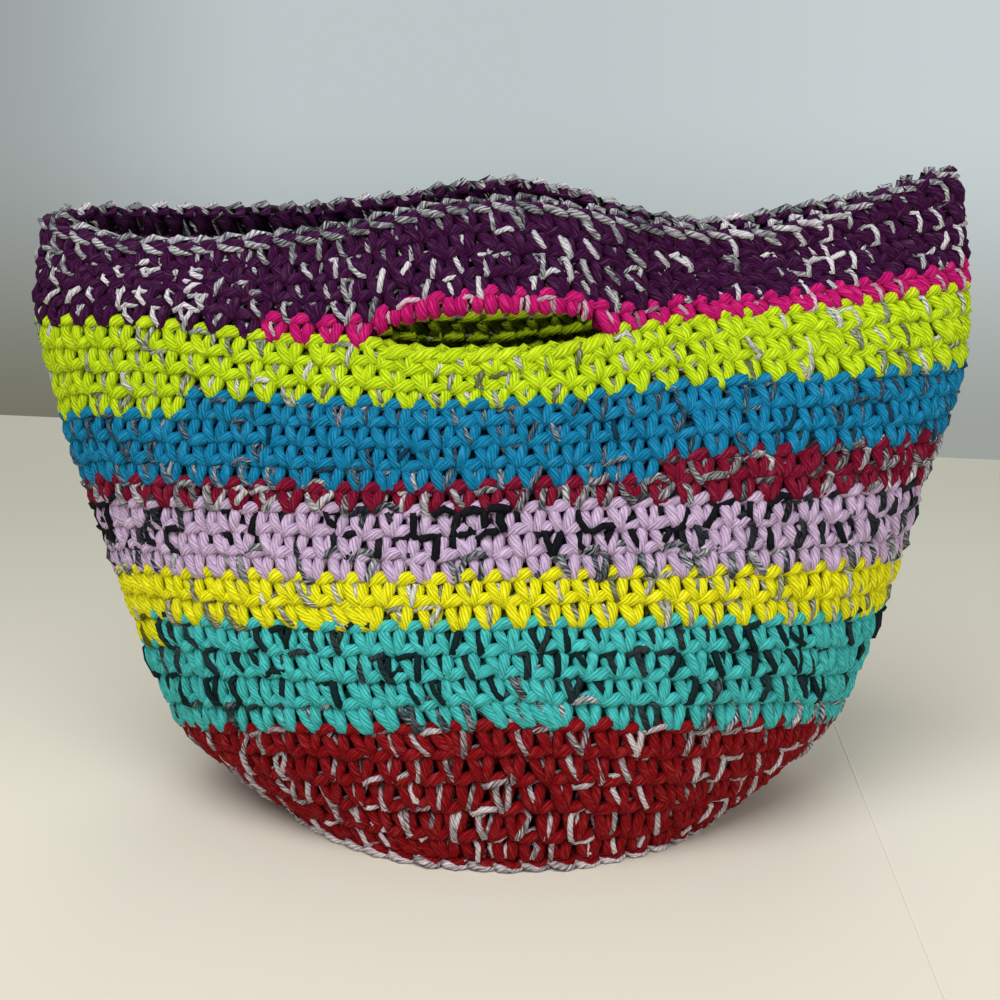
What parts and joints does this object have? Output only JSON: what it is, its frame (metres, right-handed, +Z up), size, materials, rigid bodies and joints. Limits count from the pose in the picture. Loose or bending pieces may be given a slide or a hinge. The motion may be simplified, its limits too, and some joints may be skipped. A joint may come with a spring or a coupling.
{
  "type": "tote bag",
  "caption": "Crocheted tote bag with a flat round base, walls flaring up to a wide flattened mouth and a hand slot through front and back.",
  "frame": {"origin": "middle of the bag's outline, at the height of the surface that the bag stands on", "axes": "+Z up to the mouth, +X along the width towards the higher end of the rim, -Y out of the front"},
  "size_m": [0.3274, 0.1614, 0.2362],
  "materials": {
    "red_yarn": "soft red acrylic yarn worked with a thin grey and white strand",
    "turquoise_yarn": "soft turquoise acrylic yarn worked with a thin dark grey strand",
    "yellow_yarn": "soft yellow acrylic yarn worked with a thin grey strand",
    "lavender_yarn": "soft lavender acrylic yarn worked with a thin black and grey strand",
    "crimson_yarn": "soft crimson acrylic yarn worked with a thin grey and black strand",
    "blue_yarn": "soft blue acrylic yarn worked with a thin dark grey strand",
    "lime_yarn": "soft bright lime acrylic yarn worked with a thin light grey strand",
    "pink_yarn": "soft deep pink acrylic yarn worked with a thin white strand",
    "purple_yarn": "soft dark purple acrylic yarn worked with a thin light grey strand"
  },
  "bodies": {
    "root": {"red_base": "red_yarn", "turquoise_band": "turquoise_yarn", "yellow_band": "yellow_yarn", "lavender_band": "lavender_yarn", "crimson_band": "crimson_yarn", "blue_band": "blue_yarn", "lime_band": "lime_yarn", "pink_band": "pink_yarn", "purple_band": "purple_yarn"}
  },
  "joints": []
}
